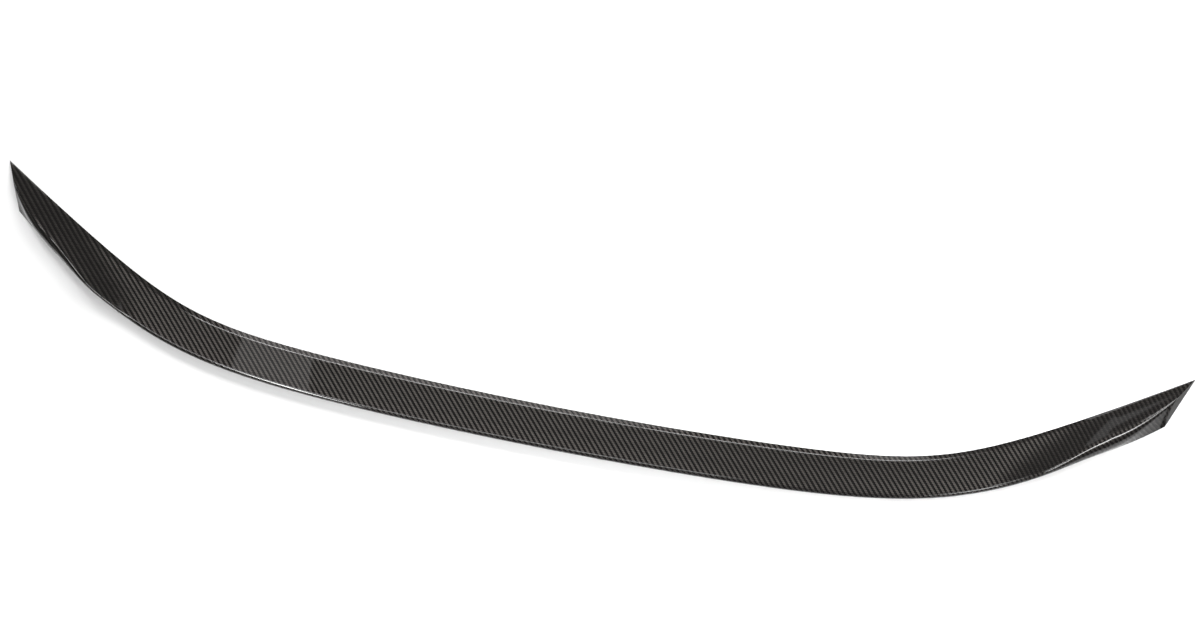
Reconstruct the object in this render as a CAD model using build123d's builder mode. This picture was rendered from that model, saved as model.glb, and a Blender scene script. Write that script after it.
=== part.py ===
from build123d import *
from math import cos, exp, log, radians, sin, sqrt
import os

# A carbon-fibre boot-lid lip spoiler, moulded as one thin shell.
# X runs across the car, Y forwards and Z up. The seat on the boot lid is at Z = 0,
# and the origin is in the middle of the front land on the centre line.

# Plan shape
TIP_TO_TIP = 1200.0           # between the two pointed ends
LIP_DEPTH = 42.0              # front edge to crest on the centre line
FRONT_BOW_RADIUS = 4978.0     # gentle bow of the front edge in the middle stretch
FRONT_TURN_INSET = 212.0      # from the tip to the turn into the wing
FRONT_TURN_LENGTH = 37.5      # how gradual that turn is
FRONT_WING_SLOPE = 0.4686     # extra forward run for each mm outwards along the wing
CREST_BOW_RADIUS = 6253.0     # the same four for the crest
CREST_TURN_INSET = 153.5
CREST_TURN_LENGTH = 60.0
CREST_WING_SLOPE = 0.758
TIP_SWEEP = 23.0              # how far the crest swings in towards the front edge at the tip
TIP_SWEEP_LENGTH = 65.0       # stretch before the tip in which it swings in and comes down
TIP_SWEEP_POWER = 1.3         # 1 swings in along a straight line, more starts it gently

# Section
CREST_HEIGHT = 12.0           # crest above the seat on the centre line, before it is rounded
WING_HEIGHT = 25.0            # the same at its highest, where the tip sweep begins
RISE_LENGTH = 105.0           # stretch before the tip sweep in which the crest rises
CREST_RADIUS = 3.5            # round of the crest in the middle stretch
SOFT_INSET = 60.0             # from the tip to where the crest is softest
SOFT_LENGTH = 60.0            # stretch before that in which it softens
WING_CREST_RADIUS = 10.0      # round of the crest where it is softest
TIP_CREST_RADIUS = 2.0
BEVEL_WIDTH = 4.5             # bevelled front edge, seen in plan
BEVEL_HEIGHT = 3.0
TIP_BEVEL_WIDTH = 1.0
TIP_BEVEL_HEIGHT = 1.5
TOP_HOLLOW = 0.8              # depth of the hollow in the top face
UNDERCUT = 3.0                # lean of the rear face, forwards under the crest in the middle
FLARE = 2.5                   # and outwards below the crest at the wing ends
FLARE_INSET = 25.0            # from the tip to where the flare is full
LEAN_LENGTH = 75.0            # stretch before that in which the lean changes

# Shell and bonding lands
WALL = 2.0
FRONT_LAND = 12.0             # flat seat behind the front edge
REAR_FOOT = 10.0              # flange turned in below the rear face
FOOT_THICKNESS = 2.0
END_INSET = 48.0              # from the tip to the end of the hollow

# End trim
TRIM_INSET = 19.0             # the trim starts this far inside the tip
TRIM_SETBACK = 45.0           # and this far behind it
TRIM_DRAFT = 20.0             # degrees

# Allowance by which the lofts run past the faces that cut them
OVERRUN = 4.0

MIDDLE_STEPS = 4              # drawn cross-sections between the centre line and the wing
WING_STEPS = 16               # and along the wing

# Distances from the centre line, which all follow the tip
HALF = TIP_TO_TIP / 2
FRONT_TURN_DISTANCE = HALF - FRONT_TURN_INSET
CREST_TURN_DISTANCE = HALF - CREST_TURN_INSET
SWEEP_DISTANCE = HALF - TIP_SWEEP_LENGTH
RISE_DISTANCE = SWEEP_DISTANCE - RISE_LENGTH
SOFTEST_DISTANCE = HALF - SOFT_INSET
SOFT_DISTANCE = SOFTEST_DISTANCE - SOFT_LENGTH
FLARE_DISTANCE = HALF - FLARE_INSET
LEAN_DISTANCE = FLARE_DISTANCE - LEAN_LENGTH


def stations(end):
    """Distances from the centre line at which cross-sections are drawn, from end to end."""
    middle = [FRONT_TURN_DISTANCE * i / MIDDLE_STEPS for i in range(MIDDLE_STEPS)]
    wing_length = end - FRONT_TURN_DISTANCE
    wing = [FRONT_TURN_DISTANCE + wing_length * i / WING_STEPS for i in range(WING_STEPS + 1)]
    half = middle + wing
    return [-x for x in reversed(half[1:])] + half


def ease(x, start, end):
    """Goes smoothly from 0 at start to 1 at end."""
    t = min(max((x - start) / (end - start), 0.0), 1.0)
    return t * t * (3 - 2 * t)


def turn(x, distance, length):
    """Stays near 0 up to a distance and then climbs one for one, blending over a length."""
    return length * (log(1 + exp((x - distance) / length)) - log(1 + exp(-distance / length)))


def front_y(x):
    """Front edge of the lip in plan."""
    bow = x * x / (2 * FRONT_BOW_RADIUS)
    return FRONT_LAND / 2 + bow + FRONT_WING_SLOPE * turn(x, FRONT_TURN_DISTANCE, FRONT_TURN_LENGTH)


def trailing_y(x):
    """Rear line of the lip in plan, before the crest swings in to the tip."""
    bow = x * x / (2 * CREST_BOW_RADIUS)
    wing = CREST_WING_SLOPE * turn(x, CREST_TURN_DISTANCE, CREST_TURN_LENGTH)
    return FRONT_LAND / 2 - LIP_DEPTH + bow + wing


def crest_y(x):
    """Crest in plan."""
    along = min(max(x - SWEEP_DISTANCE, 0.0) / TIP_SWEEP_LENGTH, 1.0)
    return trailing_y(x) + TIP_SWEEP * along ** TIP_SWEEP_POWER


def depth(x):
    """Front edge to crest in plan."""
    return front_y(x) - crest_y(x)


def crest_z(x):
    """Height of the crest, which comes down in step with the depth on the way to the tip."""
    rise = (WING_HEIGHT - CREST_HEIGHT) * ease(x, RISE_DISTANCE, SWEEP_DISTANCE)
    return (CREST_HEIGHT + rise) * depth(max(x, SWEEP_DISTANCE)) / depth(SWEEP_DISTANCE)


def crest_round(x):
    """Radius of the crest."""
    swell = (WING_CREST_RADIUS - CREST_RADIUS) * ease(x, SOFT_DISTANCE, SOFTEST_DISTANCE)
    taper = (WING_CREST_RADIUS - TIP_CREST_RADIUS) * ease(x, SOFTEST_DISTANCE, HALF)
    return CREST_RADIUS + swell - taper


def foot_y(x):
    """Lower edge of the rear face in plan."""
    return trailing_y(x) + UNDERCUT - (UNDERCUT + FLARE) * ease(x, LEAN_DISTANCE, FLARE_DISTANCE)


class Section:
    """Points of the cross-section at one distance from the centre line."""

    def __init__(self, x):
        x = abs(x)
        to_tip = ease(x, RISE_DISTANCE, HALF)
        width = BEVEL_WIDTH + (TIP_BEVEL_WIDTH - BEVEL_WIDTH) * to_tip
        height = BEVEL_HEIGHT + (TIP_BEVEL_HEIGHT - BEVEL_HEIGHT) * to_tip
        self.radius = crest_round(x)
        self.front = Vector(front_y(x), 0)
        self.bevel = Vector(front_y(x) - width, height)
        self.crest = Vector(crest_y(x), crest_z(x))
        self.foot = Vector(foot_y(x), 0)
        chord = self.crest - self.bevel
        dip = TOP_HOLLOW * chord.length / LIP_DEPTH
        up = Vector(chord.Y, -chord.X) * (1 / chord.length)
        self.middle = (self.bevel + self.crest) * 0.5 - up * dip
        self.top_radius = chord.length ** 2 / (8 * dip) + dip / 2
        self.top_centre = self.middle + up * self.top_radius

    def below(self, upper, lower):
        """Point where the line through two points reaches the overrun below the seat."""
        return lower + (lower - upper) * (OVERRUN / (upper.Y - lower.Y))

    def under_top(self, y):
        """Point of the shell's inner face below the top, at a given y."""
        reach = self.top_radius + WALL
        return Vector(y, self.top_centre.Y - sqrt(reach ** 2 - (y - self.top_centre.X) ** 2))

    def inside_rear(self, z):
        """Point of the shell's inner face in front of the rear face, at a given height."""
        rear = self.crest - self.foot
        return Vector(self.foot.X + rear.X * z / rear.Y + WALL * rear.length / rear.Y, z)

    def inside_corner(self):
        """Where the two inner faces meet below the crest."""
        low = self.inside_rear(0)
        rise = self.inside_rear(self.crest.Y) - low
        gap = low - self.top_centre
        a = rise.dot(rise)
        b = gap.dot(rise)
        c = gap.dot(gap) - (self.top_radius + WALL) ** 2
        return low + rise * ((-b - sqrt(b * b - a * c)) / a)


with BuildPart() as spoiler_lip:
    # Outer form through cross-sections from end to end
    for x in stations(HALF + OVERRUN):
        s = Section(x)
        front_low = s.below(s.bevel, s.front)
        foot_low = s.below(s.crest, s.foot)
        with BuildSketch(Plane.YZ.offset(x)):
            with BuildLine():
                Line(front_low, s.bevel)
                ThreePointArc(s.bevel, s.middle, s.crest)
                Line(s.crest, foot_low)
                Line(foot_low, front_low)
            face = make_face()
            fillet(face.vertices().sort_by(Axis.Y)[-1], s.radius)
    loft()
    # Flat seat
    split(bisect_by=Plane.XY, keep=Keep.TOP)
    # Ends trimmed to a point along the edge of the boot lid
    for side in (-1, 1):
        tip = Vector(side * HALF, front_y(HALF), 0)
        across = Vector(side * TRIM_INSET, TRIM_SETBACK, 0)
        level = Vector(side * across.Y, -side * across.X, 0) * (1 / across.length)
        outward = level * cos(radians(TRIM_DRAFT)) + Vector(0, 0, sin(radians(TRIM_DRAFT)))
        split(bisect_by=Plane(origin=tip, z_dir=outward), keep=Keep.BOTTOM)
    # Hollow underside, open between the front land and the rear foot
    for x in stations(HALF - END_INSET):
        s = Section(x)
        land_edge = s.front.X - FRONT_LAND
        foot_edge = s.foot.X + REAR_FOOT
        corner = s.inside_corner()
        middle = s.under_top((land_edge + corner.X) / 2)
        with BuildSketch(Plane.YZ.offset(x)):
            with BuildLine():
                Line((land_edge, -OVERRUN), s.under_top(land_edge))
                ThreePointArc(s.under_top(land_edge), middle, corner)
                Line(corner, s.inside_rear(FOOT_THICKNESS))
                Line(s.inside_rear(FOOT_THICKNESS), (foot_edge, FOOT_THICKNESS))
                Line((foot_edge, FOOT_THICKNESS), (foot_edge, -OVERRUN))
                Line((foot_edge, -OVERRUN), (land_edge, -OVERRUN))
            face = make_face()
            fillet(face.vertices().sort_by(Axis.Y)[-1], s.radius - WALL)
    loft(mode=Mode.SUBTRACT)
spoiler_lip.part.label = "spoiler_lip"

os.makedirs("parts", exist_ok=True)
export_step(spoiler_lip.part, "parts/spoiler_lip.step")
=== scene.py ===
"""Studio scene of a carbon-fibre boot-lid lip spoiler, seen almost straight from above.

The shell is rebuilt as one smooth mesh from the same named sizes as the solid that it stands for, and is
dressed in clear-coated twill cloth, raw laminate on its underside and bare laminate on its trimmed ends.
"""

import logging
import math
from collections.abc import Callable
from dataclasses import dataclass, field
from enum import Enum, IntEnum

import bmesh
import bpy
from mathutils import Matrix, Vector


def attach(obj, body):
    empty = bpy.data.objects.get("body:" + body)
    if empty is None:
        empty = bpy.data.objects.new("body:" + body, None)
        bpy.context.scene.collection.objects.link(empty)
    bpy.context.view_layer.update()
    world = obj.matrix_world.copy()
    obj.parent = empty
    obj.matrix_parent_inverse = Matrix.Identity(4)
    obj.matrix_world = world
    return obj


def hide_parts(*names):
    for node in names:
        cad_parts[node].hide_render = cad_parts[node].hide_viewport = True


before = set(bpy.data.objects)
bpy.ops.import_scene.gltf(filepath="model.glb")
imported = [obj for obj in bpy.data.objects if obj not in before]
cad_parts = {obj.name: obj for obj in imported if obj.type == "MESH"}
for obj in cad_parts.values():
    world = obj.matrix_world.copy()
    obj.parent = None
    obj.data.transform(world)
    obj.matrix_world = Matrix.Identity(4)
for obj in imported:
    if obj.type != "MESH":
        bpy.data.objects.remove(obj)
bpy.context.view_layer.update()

log = logging.getLogger("lip_spoiler")

MM = 0.001
IMAGE_WIDTH = 1200

Colour = tuple[float, float, float, float]
Place = tuple[float, float, float]


class Side(Enum):
    """The two ends of the lip, by the sign of their X."""

    LEFT = -1
    RIGHT = 1


class Dress(IntEnum):
    """Material slots of the shell."""

    CLOTH = 0
    LAMINATE = 1
    TRIM = 2


def ease(x: float, start: float, end: float) -> float:
    """Blend smoothly between two distances.

    Args:
        x: Distance to look at.
        start: Distance where the blend is 0.
        end: Distance where the blend is 1.

    Returns:
        The blend, from 0 to 1.
    """
    t = min(max((x - start) / (end - start), 0.0), 1.0)
    return t * t * (3.0 - 2.0 * t)


def turn(x: float, distance: float, length: float) -> float:
    """Climb one for one past a distance, blending in over a length.

    Args:
        x: Distance from the centre line.
        distance: Where the climb begins.
        length: How gradual the beginning is.

    Returns:
        The climb at x.
    """
    return length * (math.log1p(math.exp((x - distance) / length)) - math.log1p(math.exp(-distance / length)))


def mix(a: float, b: float, share: float) -> float:
    """Return the value between a and b at a share of the way."""
    return a + (b - a) * share


def arc(centre: Vector, start: Vector, end: Vector, steps: int) -> list[Vector]:
    """Points along the shorter arc between two points on a circle.

    Args:
        centre: Centre of the circle.
        start: First point.
        end: Last point.
        steps: Number of steps between them.

    Returns:
        The points after start, up to and with end.
    """
    first = math.atan2(start.y - centre.y, start.x - centre.x)
    last = math.atan2(end.y - centre.y, end.x - centre.x)
    swing = (last - first + math.pi) % (2.0 * math.pi) - math.pi
    radius = (start - centre).length
    angles = (first + swing * i / steps for i in range(1, steps + 1))
    return [centre + radius * Vector((math.cos(a), math.sin(a))) for a in angles]


def line(start: Vector, end: Vector, steps: int) -> list[Vector]:
    """Return the points after start on a straight line, up to and with end."""
    return [start.lerp(end, i / steps) for i in range(1, steps + 1)]


@dataclass
class LipForm:
    """Sizes of the lip and the lines that follow from them, in millimetres and radians.

    Every line is given by the distance from the centre line, because both halves of the lip are alike.
    """

    tip_to_tip: float = 1200.0
    lip_depth: float = 42.0
    front_bow_radius: float = 4978.0
    front_turn_distance: float = 388.0
    front_turn_length: float = 37.5
    front_wing_slope: float = 0.4686
    crest_bow_radius: float = 6253.0
    crest_turn_distance: float = 446.5
    crest_turn_length: float = 60.0
    crest_wing_slope: float = 0.758
    tip_sweep: float = 23.0
    tip_sweep_length: float = 65.0
    tip_sweep_power: float = 1.3
    crest_height: float = 12.0
    wing_height: float = 25.0
    rise_distance: float = 430.0
    crest_radius: float = 3.5
    soft_distance: float = 480.0
    soft_inset: float = 60.0
    wing_crest_radius: float = 10.0
    tip_crest_radius: float = 2.0
    bevel_width: float = 4.5
    bevel_height: float = 3.0
    tip_bevel_width: float = 1.0
    tip_bevel_height: float = 1.5
    bevel_round: float = 1.5
    top_hollow: float = 0.8
    undercut: float = 3.0
    flare: float = 2.5
    lean_distance: float = 500.0
    flare_inset: float = 25.0
    wall: float = 2.0
    front_land: float = 12.0
    rear_foot: float = 10.0
    foot_thickness: float = 2.0
    end_inset: float = 48.0
    trim_inset: float = 19.0
    trim_setback: float = 45.0
    trim_draft: float = math.radians(20.0)
    overrun: float = 4.0

    @property
    def half(self) -> float:
        """Distance from the centre line to a tip."""
        return self.tip_to_tip / 2.0

    @property
    def sweep_distance(self) -> float:
        """Distance from the centre line to where the crest swings in."""
        return self.half - self.tip_sweep_length

    def front_y(self, x: float) -> float:
        """Return the front edge in plan at a distance from the centre line."""
        wing = self.front_wing_slope * turn(x, self.front_turn_distance, self.front_turn_length)
        return self.front_land / 2.0 + x * x / (2.0 * self.front_bow_radius) + wing

    def trailing_y(self, x: float) -> float:
        """Return the rear line in plan, before the crest swings in to the tip."""
        wing = self.crest_wing_slope * turn(x, self.crest_turn_distance, self.crest_turn_length)
        return self.front_land / 2.0 - self.lip_depth + x * x / (2.0 * self.crest_bow_radius) + wing

    def crest_y(self, x: float) -> float:
        """Return the crest in plan."""
        along = min(max(x - self.sweep_distance, 0.0) / self.tip_sweep_length, 1.0)
        return self.trailing_y(x) + self.tip_sweep * along ** self.tip_sweep_power

    def crest_run(self, x: float) -> Vector:
        """Return the unit direction of the crest in plan, outwards."""
        step = 0.5
        return Vector((2.0 * step, self.crest_y(x + step) - self.crest_y(x - step))).normalized()

    def depth(self, x: float) -> float:
        """Return the distance from the front edge to the crest in plan."""
        return self.front_y(x) - self.crest_y(x)

    def crest_z(self, x: float) -> float:
        """Work out the height of the crest, which falls in step with the depth towards the tip.

        Args:
            x: Distance from the centre line.

        Returns:
            The height above the seat, before the crest is rounded.
        """
        rise = (self.wing_height - self.crest_height) * ease(x, self.rise_distance, self.sweep_distance)
        share = self.depth(max(x, self.sweep_distance)) / self.depth(self.sweep_distance)
        return (self.crest_height + rise) * share

    def round_at(self, x: float) -> float:
        """Work out the radius of the crest, which is softest in the wings.

        Args:
            x: Distance from the centre line.

        Returns:
            The radius.
        """
        softest = self.half - self.soft_inset
        wing = mix(self.crest_radius, self.wing_crest_radius, ease(x, self.soft_distance, softest))
        return mix(wing, self.tip_crest_radius, ease(x, softest, self.half))

    def foot_y(self, x: float) -> float:
        """Return the lower edge of the rear face in plan."""
        lean = ease(x, self.lean_distance, self.half - self.flare_inset)
        return self.trailing_y(x) + self.undercut - (self.undercut + self.flare) * lean


class LipSection:
    """Cross-section of the lip at one distance from the centre line, as (y, z) points in millimetres."""

    BEVEL_STEPS = 2
    ROUND_STEPS = 6
    TOP_STEPS = 16
    CREST_STEPS = 24
    REAR_STEPS = 5
    ROOF_STEPS = 10

    def __init__(self, form: LipForm, x: float) -> None:
        """Work out the corner points and the circle of the hollow top face.

        Args:
            form: Sizes of the lip.
            x: Place along the lip, with its sign.
        """
        x = abs(x)
        self.form = form
        self.run = form.crest_run(x)
        to_tip = ease(x, form.rise_distance, form.half)
        width = mix(form.bevel_width, form.tip_bevel_width, to_tip)
        height = mix(form.bevel_height, form.tip_bevel_height, to_tip)
        self.radius = form.round_at(x)
        self.front = Vector((form.front_y(x), 0.0))
        self.bevel = Vector((form.front_y(x) - width, height))
        self.crest = Vector((form.crest_y(x), form.crest_z(x)))
        self.foot = Vector((form.foot_y(x), 0.0))
        chord = self.crest - self.bevel
        dip = form.top_hollow * chord.length / form.lip_depth
        up = Vector((chord.y, -chord.x)) / chord.length
        self.top_radius = chord.length ** 2 / (8.0 * dip) + dip / 2.0
        self.top_centre = (self.bevel + self.crest) / 2.0 + up * (self.top_radius - dip)

    def _round(self, base: Vector, along: Vector, inward: Vector, radius: float) -> tuple[Vector, ...]:
        """Fit a round between a straight face and the hollow top face.

        Args:
            base: Point on the straight face.
            along: Unit direction of the straight face, up to the top face.
            inward: Unit normal of the straight face, into the shell.
            radius: Radius of the round.

        Returns:
            The centre of the round, its point on the straight face and its point on the top face.
        """
        start = base + inward * radius - self.top_centre
        reach = self.top_radius + radius
        b = start.dot(along)
        root = math.sqrt(b * b - start.dot(start) + reach * reach)
        centre = base + inward * radius + along * (-b - root)
        on_top = self.top_centre + (centre - self.top_centre) * (self.top_radius / reach)
        return centre, centre - inward * radius, on_top

    def outer(self) -> list[tuple[Vector, Vector]]:
        """Trace the outside from the front edge over the crest to the foot.

        Returns:
            Points with the cloth's own place on them: outwards from the cross-section, and forwards.
            Behind the crest the cloth is laid over it without shear.
        """
        slope = (self.bevel - self.front).normalized()
        into = Vector((-slope.y, slope.x))
        centre, low, high = self._round(self.front, slope, into, self.form.bevel_round)
        rear = (self.crest - self.foot).normalized()
        ahead = Vector((rear.y, -rear.x))
        ridge, back, brow = self._round(self.foot, rear, ahead, self.radius)
        path = [self.front.copy()]
        path += line(self.front, low, self.BEVEL_STEPS)
        path += arc(centre, low, high, self.ROUND_STEPS)
        first_top = len(path) - 1
        path += arc(self.top_centre, high, brow, self.TOP_STEPS)
        last_top = len(path) - 1
        path += arc(ridge, brow, back, self.CREST_STEPS)
        path += line(back, self.foot, self.REAR_STEPS)
        cloth = [Vector((0.0, p.x)) for p in path]
        for i in range(first_top - 1, -1, -1):
            cloth[i] = cloth[i + 1] + Vector((0.0, (path[i] - path[i + 1]).length))
        outward = Vector((self.run.y, -self.run.x))
        for i in range(last_top + 1, len(path)):
            step = path[i] - path[i - 1]
            down = math.hypot(step.x * self.run.x, step.y)
            cloth[i] = cloth[i - 1] + self.run * (step.x * self.run.y) + outward * down
        return list(zip(path, cloth))

    def hollow(self) -> list[Vector]:
        """Trace the hollow from below the front land over its roof to below the rear foot.

        Returns:
            Points of the hollow's outline.
        """
        form = self.form
        reach = self.top_radius + form.wall
        land = self.front.x - form.front_land
        lip = self.foot.x + form.rear_foot
        start = Vector((land, self.top_centre.y - math.sqrt(reach ** 2 - (land - self.top_centre.x) ** 2)))
        rear = (self.crest - self.foot).normalized()
        ahead = Vector((rear.y, -rear.x))
        low = self.foot + ahead * form.wall
        ridge, back, brow = self._round(self.foot, rear, ahead, self.radius)
        inner = 1.0 - form.wall / self.radius
        roof = ridge + (brow - ridge) * inner
        wall = ridge + (back - ridge) * inner
        heel = low + rear * ((form.foot_thickness - low.y) / rear.y)
        path = [Vector((land, -form.overrun)), start]
        path += arc(self.top_centre, start, roof, self.ROOF_STEPS)
        path += arc(ridge, roof, wall, self.ROUND_STEPS)
        path += [heel, Vector((lip, form.foot_thickness)), Vector((lip, -form.overrun))]
        return path


Outline = Callable[[float], list[tuple[Vector, Vector]]]


@dataclass
class LipShell:
    """The moulded lip: one closed shell with its hollow underside and trimmed ends.

    Columns is the number of steps along the lip. Points within the weld distance become one, faces that lie
    within the seat band belong to the seat, and edges that bend by more than the crease angle are sharp.
    Distances are in metres.
    """

    form: LipForm = field(default_factory=LipForm)
    columns: int = 600
    cloth_map: str = "cloth"
    weld: float = 1e-7
    seat_band: float = 1e-6
    crease: float = math.radians(28.0)

    def _tube(self, reach: float, outline: Outline, dress: Dress) -> bmesh.types.BMesh:
        """Wrap a grid round the lip, with one row of points for each place along it.

        Args:
            reach: Distance from the centre line to the ends.
            outline: Gives the points at a place, each with its cloth coordinate.
            dress: Material slot of the faces.

        Returns:
            A closed mesh in metres, with the cloth's UV map.
        """
        rows = len(outline(0.0))
        bm = bmesh.new()
        bmesh.ops.create_grid(bm, x_segments=self.columns, y_segments=rows, size=1.0)
        cloth: dict[bmesh.types.BMVert, Vector] = {}
        by_column: dict[int, list[bmesh.types.BMVert]] = {}
        for v in bm.verts:
            by_column.setdefault(round((v.co.x + 1.0) / 2.0 * self.columns), []).append(v)
        for column, verts in by_column.items():
            x = reach * (2.0 * column / self.columns - 1.0)
            path = outline(x)
            for v in verts:
                row = round((v.co.y + 1.0) / 2.0 * rows)
                point, place = path[row % rows]
                cloth[v] = Vector((x + math.copysign(place.x, x), place.y)) * MM
                v.co = Vector((x, point.x, point.y)) * MM
        layer = bm.loops.layers.uv.new(self.cloth_map)
        for face in bm.faces:
            face.material_index = dress
            face.smooth = True
            for loop in face.loops:
                loop[layer].uv = cloth[loop.vert]
        bmesh.ops.remove_doubles(bm, verts=bm.verts, dist=self.weld)
        bmesh.ops.holes_fill(bm, edges=[e for e in bm.edges if e.is_boundary], sides=0)
        bmesh.ops.recalc_face_normals(bm, faces=bm.faces)
        return bm

    def _trim(self, bm: bmesh.types.BMesh, side: Side) -> None:
        """Cut one end to its point along the edge of the boot lid and close the cut.

        Args:
            bm: Mesh to cut.
            side: End to cut.
        """
        form = self.form
        across = Vector((side.value * form.trim_inset, form.trim_setback, 0.0)).normalized()
        level = Vector((side.value * across.y, -side.value * across.x, 0.0))
        outward = level * math.cos(form.trim_draft) + Vector((0.0, 0.0, math.sin(form.trim_draft)))
        tip = Vector((side.value * form.half, form.front_y(form.half), 0.0)) * MM
        geom = bm.verts[:] + bm.edges[:] + bm.faces[:]
        cut = bmesh.ops.bisect_plane(bm, geom=geom, plane_co=tip, plane_no=outward, clear_outer=True)
        edges = [e for e in cut["geom_cut"] if isinstance(e, bmesh.types.BMEdge)]
        made = bmesh.ops.contextual_create(bm, geom=edges)["faces"]
        layer = bm.loops.layers.uv[self.cloth_map]
        for face in made:
            face.material_index = Dress.TRIM
            face.smooth = False
            for loop in face.loops:
                loop[layer].uv = ((loop.vert.co - tip).dot(across), loop.vert.co.z)

    def _outer(self) -> bmesh.types.BMesh:
        """Build the outside with its flat seat and both trimmed ends.

        Returns:
            The closed mesh.
        """
        reach = self.form.half + self.form.overrun
        bm = self._tube(reach, lambda x: LipSection(self.form, x).outer(), Dress.CLOTH)
        for side in Side:
            self._trim(bm, side)
        for face in bm.faces:
            if max(v.co.z for v in face.verts) < self.seat_band:
                face.material_index = Dress.LAMINATE
        bmesh.ops.recalc_face_normals(bm, faces=bm.faces)
        return bm

    def _hollow(self) -> bmesh.types.BMesh:
        """Build the body of the hollow that is taken out from below.

        Returns:
            The closed mesh.
        """
        def outline(x: float) -> list[tuple[Vector, Vector]]:
            """Pair each point of the hollow with its place in plan."""
            return [(p, Vector((0.0, p.x))) for p in LipSection(self.form, x).hollow()]

        return self._tube(self.form.half - self.form.end_inset, outline, Dress.LAMINATE)

    def _object(self, name: str, bm: bmesh.types.BMesh,
                materials: list[bpy.types.Material]) -> bpy.types.Object:
        """Turn a mesh under construction into an object of the scene.

        Args:
            name: Name of the object.
            bm: Mesh, which is freed.
            materials: Materials of its slots, in order.

        Returns:
            The object, at the origin.
        """
        mesh = bpy.data.meshes.new(name)
        bm.to_mesh(mesh)
        bm.free()
        for material in materials:
            mesh.materials.append(material)
        obj = bpy.data.objects.new(name, mesh)
        bpy.context.scene.collection.objects.link(obj)
        return obj

    def build(self, materials: list[bpy.types.Material]) -> bpy.types.Object:
        """Build the shell, take the hollow out of it and set it on the frame.

        Args:
            materials: Materials in the order of Dress.

        Returns:
            The finished piece.
        """
        shell = self._object("lip_shell", self._outer(), materials)
        hollow = self._object("lip_hollow", self._hollow(), materials)
        cut = shell.modifiers.new("hollow", "BOOLEAN")
        cut.operation = "DIFFERENCE"
        cut.solver = "EXACT"
        cut.material_mode = "INDEX"
        cut.object = hollow
        graph = bpy.context.evaluated_depsgraph_get()
        mesh = bpy.data.meshes.new_from_object(shell.evaluated_get(graph))
        shell.modifiers.clear()
        shell.data = mesh
        mesh.name = "lip_shell"
        bpy.data.objects.remove(hollow)
        mesh.set_sharp_from_angle(angle=self.crease)
        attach(shell, "root")
        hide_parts("spoiler_lip")
        return shell


class Nodes:
    """Short hand for wiring the nodes of one tree."""

    def __init__(self, tree: bpy.types.NodeTree) -> None:
        """Keep the tree that nodes are added to."""
        self.tree = tree

    def add(self, kind: str, **values: object) -> bpy.types.Node:
        """Add a node and set its properties.

        Args:
            kind: Type of the node.
            **values: Properties by name.

        Returns:
            The node.
        """
        node = self.tree.nodes.new(kind)
        for name, value in values.items():
            setattr(node, name, value)
        return node

    def join(self, source: bpy.types.NodeSocket, target: bpy.types.NodeSocket) -> None:
        """Link an output to an input."""
        self.tree.links.new(source, target)

    def math(self, operation: str, *inputs: object, clamp: bool = False) -> bpy.types.NodeSocket:
        """Add a math node.

        Args:
            operation: Its operation.
            *inputs: Sockets or numbers for its inputs, in order.
            clamp: Whether the result is kept between 0 and 1.

        Returns:
            Its output.
        """
        node = self.add("ShaderNodeMath", operation=operation, use_clamp=clamp)
        for socket, value in zip(node.inputs, inputs):
            if isinstance(value, bpy.types.NodeSocket):
                self.join(value, socket)
            else:
                socket.default_value = value
        return node.outputs[0]

    def blend(self, share: object, low: object, high: object) -> bpy.types.NodeSocket:
        """Mix two colours.

        Args:
            share: Socket or number from 0 to 1.
            low: Socket or colour at 0.
            high: Socket or colour at 1.

        Returns:
            The mixed colour.
        """
        node = self.add("ShaderNodeMix", data_type="RGBA")
        for socket, value in ((node.inputs[0], share), (node.inputs[6], low), (node.inputs[7], high)):
            if isinstance(value, bpy.types.NodeSocket):
                self.join(value, socket)
            else:
                socket.default_value = value
        return node.outputs[2]


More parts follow.
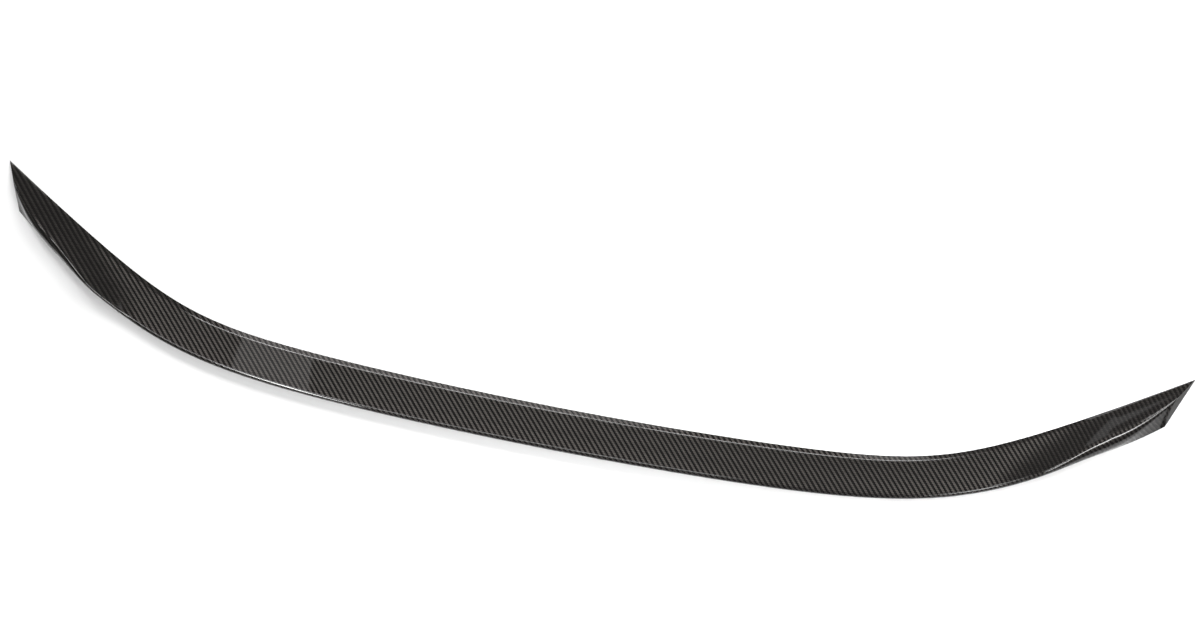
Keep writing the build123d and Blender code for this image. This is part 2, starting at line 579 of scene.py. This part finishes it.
class TwillWeave:
    """Two-over-two twill cloth as a node group.

    Its tows run along X and Y and its ribs from the front left to the rear right. It puts out which tow lies
    on top, how high the cloth stands, the streaks of its fibres and a small difference from tow to tow.
    Lengths are in tow widths.
    """

    NAME = "twill_weave"
    OUTPUTS = ("Warp", "Height", "Fibre", "Tow")
    REPEAT = 4.0
    FLOAT_LENGTH = 2.0
    CROWN_POWER = 0.6
    BELLY_POWER = 0.5
    STREAKS_ACROSS = 9.0
    STREAKS_ALONG = 0.7
    STREAK_SHIFT = 7.3
    STREAK_DETAIL = 2.0

    def group(self) -> bpy.types.NodeTree:
        """Return the node group, building it the first time."""
        found = bpy.data.node_groups.get(self.NAME)
        return found or self._build()

    def _build(self) -> bpy.types.NodeTree:
        """Build the node group.

        Returns:
            The group.
        """
        tree = bpy.data.node_groups.new(self.NAME, "ShaderNodeTree")
        tree.interface.new_socket("Vector", in_out="INPUT", socket_type="NodeSocketVector")
        tree.interface.new_socket("Tow Width", in_out="INPUT", socket_type="NodeSocketFloat")
        for name in self.OUTPUTS:
            tree.interface.new_socket(name, in_out="OUTPUT", socket_type="NodeSocketFloat")
        n = Nodes(tree)
        given = n.add("NodeGroupInput")
        result = n.add("NodeGroupOutput")
        split = n.add("ShaderNodeSeparateXYZ")
        n.join(given.outputs["Vector"], split.inputs[0])
        u = n.math("DIVIDE", split.outputs[0], given.outputs["Tow Width"])
        v = n.math("DIVIDE", split.outputs[1], given.outputs["Tow Width"])
        column, row = n.math("FLOOR", u), n.math("FLOOR", v)
        along_warp = n.math("FLOORED_MODULO", n.math("ADD", column, v), self.REPEAT)
        along_weft = n.math("FLOORED_MODULO", n.math("ADD", u, row), self.REPEAT)
        cell = n.math("FLOORED_MODULO", n.math("ADD", column, row), self.REPEAT)
        warp = n.math("LESS_THAN", cell, self.FLOAT_LENGTH - 0.5)
        weft = n.math("SUBTRACT", 1.0, warp)
        across_warp, across_weft = n.math("FRACT", u), n.math("FRACT", v)
        warp_float = n.math("DIVIDE", along_warp, self.FLOAT_LENGTH)
        weft_float = n.math("DIVIDE", n.math("SUBTRACT", along_weft, self.FLOAT_LENGTH), self.FLOAT_LENGTH)
        float_place = n.math("ADD", n.math("MULTIPLY", warp, warp_float), n.math("MULTIPLY", weft, weft_float))
        across = n.math("ADD", n.math("MULTIPLY", warp, across_warp), n.math("MULTIPLY", weft, across_weft))
        crown = n.math("SINE", n.math("MULTIPLY", float_place, math.pi))
        belly = n.math("SINE", n.math("MULTIPLY", across, math.pi))
        height = n.math("MULTIPLY", n.math("POWER", crown, self.CROWN_POWER),
                        n.math("POWER", belly, self.BELLY_POWER))
        streak = n.add("ShaderNodeTexNoise", noise_dimensions="2D")
        streak.inputs["Scale"].default_value = 1.0
        streak.inputs["Detail"].default_value = self.STREAK_DETAIL
        place = n.add("ShaderNodeCombineXYZ")
        n.join(n.math("MULTIPLY", across, self.STREAKS_ACROSS), place.inputs[0])
        n.join(n.math("ADD", n.math("MULTIPLY", float_place, self.STREAKS_ALONG),
                      n.math("MULTIPLY", column, self.STREAK_SHIFT)), place.inputs[1])
        n.join(place.outputs[0], streak.inputs["Vector"])
        own = n.add("ShaderNodeTexWhiteNoise", noise_dimensions="2D")
        tow = n.add("ShaderNodeCombineXYZ")
        n.join(n.math("MULTIPLY", warp, column), tow.inputs[0])
        n.join(n.math("MULTIPLY", weft, row), tow.inputs[1])
        n.join(tow.outputs[0], own.inputs["Vector"])
        for name, socket in zip(self.OUTPUTS, (warp, height, streak.outputs[0], own.outputs["Value"])):
            n.join(socket, result.inputs[name])
        return tree


@dataclass(frozen=True)
class ClothFinish:
    """Clear-coated twill: black fibre, with painted sheen on one tow direction.

    The tows along X reflect light as fibres do, in one direction, by the fibre share, and their base colour is
    painted lighter than that of the tows along Y, as painted sheen. The spreads say how far the streaks and
    the tows differ in tone, and how much lighter the crowns of the tows are painted, as painted highlight.
    """

    name: str = "clear_coated_twill"
    tow_width: float = 1.43 * MM
    dark: Colour = (0.006, 0.0056, 0.0053, 1.0)
    # Painted sheen: the colour that the tows along X are blended towards; the fibre's own colour is the dark
    # one.
    light: Colour = (0.043, 0.0396, 0.0368, 1.0)
    streak_spread: float = 0.5
    tow_spread: float = 0.3
    crown_highlight_spread: float = 0.6
    roughness: float = 0.4
    fibre_share: float = 0.7
    grain: float = 0.9
    grain_turn: float = 0.25
    glint: float = 0.0
    coat: float = 1.0
    coat_roughness: float = 0.03
    coat_index: float = 1.48
    relief: float = 0.05 * MM
    relief_strength: float = 0.4

    def material(self, cloth_map: str) -> bpy.types.Material:
        """Build the material.

        Args:
            cloth_map: Name of the UV map that the cloth follows.

        Returns:
            The material.
        """
        made = bpy.data.materials.new(self.name)
        made.use_nodes = True
        n = Nodes(made.node_tree)
        shader = made.node_tree.nodes["Principled BSDF"]
        place = n.add("ShaderNodeUVMap", uv_map=cloth_map)
        weave = n.add("ShaderNodeGroup", node_tree=TwillWeave().group())
        n.join(place.outputs[0], weave.inputs["Vector"])
        weave.inputs["Tow Width"].default_value = self.tow_width
        streak_low, tow_low = 1.0 - self.streak_spread / 2.0, 1.0 - self.tow_spread / 2.0
        fibre = n.math("MULTIPLY_ADD", weave.outputs["Fibre"], self.streak_spread, streak_low)
        tow = n.math("MULTIPLY_ADD", weave.outputs["Tow"], self.tow_spread, tow_low)
        # Painted highlight: the crowns of the tows are painted lighter than their sides.
        crown = n.math("MULTIPLY_ADD", weave.outputs["Height"], self.crown_highlight_spread, 1.0 - self.crown_highlight_spread)
        # Painted sheen: only the tows along X are blended from the dark colour towards the light one.
        painted_sheen = n.math("MULTIPLY", n.math("MULTIPLY", fibre, tow), crown)
        weft = n.math("SUBTRACT", 1.0, weave.outputs["Warp"])
        share = n.math("MULTIPLY", painted_sheen, weft, clamp=True)
        n.join(n.blend(share, self.dark, self.light), shader.inputs["Base Color"])
        n.join(n.math("MULTIPLY", weft, self.fibre_share), shader.inputs["Metallic"])
        fibres = n.add("ShaderNodeTangent", direction_type="UV_MAP", uv_map=cloth_map)
        n.join(fibres.outputs[0], shader.inputs["Tangent"])
        shader.inputs["Anisotropic"].default_value = self.grain
        shader.inputs["Anisotropic Rotation"].default_value = self.grain_turn
        bump = n.add("ShaderNodeBump")
        bump.inputs["Distance"].default_value = self.relief
        bump.inputs["Strength"].default_value = self.relief_strength
        n.join(weave.outputs["Height"], bump.inputs["Height"])
        n.join(bump.outputs[0], shader.inputs["Normal"])
        shader.inputs["Roughness"].default_value = self.roughness
        shader.inputs["Specular IOR Level"].default_value = self.glint
        shader.inputs["Coat Weight"].default_value = self.coat
        shader.inputs["Coat IOR"].default_value = self.coat_index
        shader.inputs["Coat Roughness"].default_value = self.coat_roughness
        return made


@dataclass(frozen=True)
class LaminateFinish:
    """Raw laminate of the underside: the same cloth under a thin, dull skin of resin."""

    name: str = "raw_laminate"
    tow_width: float = 1.43 * MM
    dark: Colour = (0.014, 0.014, 0.014, 1.0)
    # Painted sheen: the colour that the tows along X are blended towards at their crowns.
    light: Colour = (0.050, 0.048, 0.046, 1.0)
    roughness: float = 0.55
    roughness_spread: float = 0.3
    resin_scale: float = 90.0

    def material(self, cloth_map: str) -> bpy.types.Material:
        """Build the material.

        Args:
            cloth_map: Name of the UV map that the cloth follows.

        Returns:
            The material.
        """
        made = bpy.data.materials.new(self.name)
        made.use_nodes = True
        n = Nodes(made.node_tree)
        shader = made.node_tree.nodes["Principled BSDF"]
        place = n.add("ShaderNodeUVMap", uv_map=cloth_map)
        weave = n.add("ShaderNodeGroup", node_tree=TwillWeave().group())
        n.join(place.outputs[0], weave.inputs["Vector"])
        weave.inputs["Tow Width"].default_value = self.tow_width
        resin = n.add("ShaderNodeTexNoise")
        resin.inputs["Scale"].default_value = self.resin_scale
        n.join(n.add("ShaderNodeTexCoord").outputs["Object"], resin.inputs["Vector"])
        # Painted sheen: the tows along X are painted lighter towards their crowns.
        share = n.math("MULTIPLY", n.math("SUBTRACT", 1.0, weave.outputs["Warp"]), weave.outputs["Height"])
        n.join(n.blend(share, self.dark, self.light), shader.inputs["Base Color"])
        smoothest = self.roughness - self.roughness_spread / 2.0
        roughness = n.math("MULTIPLY_ADD", resin.outputs[0], self.roughness_spread, smoothest)
        n.join(roughness, shader.inputs["Roughness"])
        return made


@dataclass(frozen=True)
class TrimFinish:
    """Bare laminate of the trimmed ends: satin grey with faint saw lines."""

    name: str = "trimmed_laminate"
    dark: Colour = (0.018, 0.0165, 0.0155, 1.0)
    light: Colour = (0.036, 0.033, 0.031, 1.0)
    roughness: float = 0.4
    saw_scale: Place = (60.0, 2500.0, 1.0)

    def material(self, cloth_map: str) -> bpy.types.Material:
        """Build the material.

        Args:
            cloth_map: Name of the UV map, in which the cut runs along U.

        Returns:
            The material.
        """
        made = bpy.data.materials.new(self.name)
        made.use_nodes = True
        n = Nodes(made.node_tree)
        shader = made.node_tree.nodes["Principled BSDF"]
        place = n.add("ShaderNodeUVMap", uv_map=cloth_map)
        stretch = n.add("ShaderNodeMapping")
        stretch.inputs["Scale"].default_value = self.saw_scale
        n.join(place.outputs[0], stretch.inputs["Vector"])
        lines = n.add("ShaderNodeTexNoise")
        n.join(stretch.outputs[0], lines.inputs["Vector"])
        n.join(n.blend(lines.outputs[0], self.dark, self.light), shader.inputs["Base Color"])
        shader.inputs["Roughness"].default_value = self.roughness
        return made


@dataclass(frozen=True)
class Lamp:
    """A soft box, in metres and watts.

    It hangs at a place and faces a point. Its size is its width along X and its length along Y, as seen from
    below, and its lean is a turn about the line to that point, which takes its far end to the right.
    """

    name: str
    place: Place
    aim: Place
    size: tuple[float, float]
    power: float
    lean: float = 0.0

    def hang(self) -> bpy.types.Object:
        """Put the lamp into the scene.

        Returns:
            The lamp.
        """
        data = bpy.data.lights.new(self.name, "AREA")
        data.shape = "RECTANGLE"
        data.size, data.size_y = self.size
        data.energy = self.power
        obj = bpy.data.objects.new(self.name, data)
        facing = (Vector(self.place) - Vector(self.aim)).normalized()
        level = Vector((0.0, 1.0, 0.0)).cross(facing).normalized()
        across = level * math.cos(self.lean) - facing.cross(level) * math.sin(self.lean)
        turned = Matrix((across, facing.cross(across), facing)).transposed().to_4x4()
        obj.matrix_world = Matrix.Translation(Vector(self.place)) @ turned
        bpy.context.scene.collection.objects.link(obj)
        return obj


# The two boxes and the key light the cloth and the floor, and the front box draws the line along the bevel.
# The strips and panels are mirrored in the clear coat: in the crests, and as light patches on the top face.
LAMPS = (
    Lamp("long_box", (-2.25, 0.65, 5.6), (-2.25, 0.65, 0.0), (1.55, 0.85), 50.0),
    Lamp("front_key", (2.4, 4.2, 3.4), (0.0, 0.0, 0.0), (2.2, 2.2), 220.0),
    Lamp("front_box", (-1.95, 4.5, 3.6), (0.0, 0.0, 0.0), (1.3, 1.5), 190.0),
    Lamp("front_panel", (-1.3, 3.4, 1.4), (0.0, 0.0, 0.0), (0.42, 0.8), 1.2),
    Lamp("left_strip", (-3.85, -3.81, 7.3), (-0.3, 0.0, 0.0), (0.4, 4.2), 200.0, math.radians(9.0)),
    Lamp("left_panel", (-0.416, 0.158, 0.35), (-0.416, 0.158, 0.0), (0.07, 0.14), 0.022),
    Lamp("left_edge", (-0.394, 0.158, 0.35), (-0.394, 0.158, 0.0), (0.027, 0.14), 0.03),
    Lamp("right_panel", (-2.017, 2.65, 0.91), (0.813, 0.38, 0.16), (0.95, 0.25), 0.5, math.radians(-27.0)),
    Lamp("right_strip", (0.55, -0.18, 1.2), (0.55, -0.18, 0.0), (0.22, 1.24), 20.0, math.radians(26.0)),
)


@dataclass
class Studio:
    """Floor, lamps, world and camera round the lip, in metres. The sensor is in millimetres."""

    lamps: tuple[Lamp, ...] = LAMPS
    world_strength: float = 0.1
    floor_size: float = 12.0
    floor_drop: float = 0.0004
    floor_colour: Colour = (0.72, 0.72, 0.72, 1.0)
    floor_roughness: float = 0.9
    tilt: float = math.radians(18.0)
    roll: float = math.radians(10.62)
    target: Place = (28.65 * MM, 102.02 * MM, 0.0)
    distance: float = 4677.3 * MM
    focal_pixels: float = 4953.0
    sensor: float = 36.0
    far_limit: float = 50.0

    def build(self) -> None:
        """Lay the floor, hang the lamps and set the world, the camera and the plain tone curve."""
        self.floor()
        self.world()
        for lamp in self.lamps:
            lamp.hang()
        self.camera()
        bpy.context.scene.view_settings.view_transform = "Standard"

    def floor(self) -> bpy.types.Object:
        """Lay a plain pale floor that shows the lip's shadow.

        Returns:
            The floor.
        """
        bm = bmesh.new()
        bmesh.ops.create_grid(bm, x_segments=1, y_segments=1, size=self.floor_size / 2.0)
        bmesh.ops.translate(bm, verts=bm.verts, vec=(0.0, 0.0, -self.floor_drop))
        mesh = bpy.data.meshes.new("floor")
        bm.to_mesh(mesh)
        bm.free()
        made = bpy.data.materials.new("floor_white")
        made.use_nodes = True
        shader = made.node_tree.nodes["Principled BSDF"]
        shader.inputs["Base Color"].default_value = self.floor_colour
        shader.inputs["Roughness"].default_value = self.floor_roughness
        shader.inputs["Specular IOR Level"].default_value = 0.0
        mesh.materials.append(made)
        obj = bpy.data.objects.new("floor", mesh)
        bpy.context.scene.collection.objects.link(obj)
        return obj

    def camera(self) -> bpy.types.Object:
        """Place the camera over the lip, tilted to its right and rolled as in the picture.

        Returns:
            The camera.
        """
        back = Vector((math.sin(self.tilt), 0.0, math.cos(self.tilt)))
        level = Vector((0.0, 1.0, 0.0)).cross(back)
        upright = back.cross(level)
        right = level * math.cos(self.roll) + upright * math.sin(self.roll)
        up = upright * math.cos(self.roll) - level * math.sin(self.roll)
        data = bpy.data.cameras.new("camera")
        data.sensor_fit = "HORIZONTAL"
        data.sensor_width = self.sensor
        data.lens = self.focal_pixels * self.sensor / IMAGE_WIDTH
        data.clip_end = self.far_limit
        obj = bpy.data.objects.new("camera", data)
        turned = Matrix((right, up, back)).transposed().to_4x4()
        obj.matrix_world = Matrix.Translation(Vector(self.target) + back * self.distance) @ turned
        bpy.context.scene.collection.objects.link(obj)
        bpy.context.scene.camera = obj
        return obj

    def world(self) -> None:
        """Surround the scene with an even grey light."""
        world = bpy.data.worlds.new("surroundings")
        world.use_nodes = True
        shade = world.node_tree.nodes["Background"]
        shade.inputs["Color"].default_value = (1.0, 1.0, 1.0, 1.0)
        shade.inputs["Strength"].default_value = self.world_strength
        bpy.context.scene.world = world


def main() -> None:
    """Build the lip and the studio."""
    logging.basicConfig(level=logging.INFO, format="%(message)s")
    shell = LipShell()
    finishes = (ClothFinish(), LaminateFinish(), TrimFinish())
    piece = shell.build([finish.material(shell.cloth_map) for finish in finishes])
    log.info("%s: %d faces", piece.name, len(piece.data.polygons))
    studio = Studio()
    studio.build()
    log.info("studio: %d lamps", len(studio.lamps))


if __name__ == "__main__":
    main()
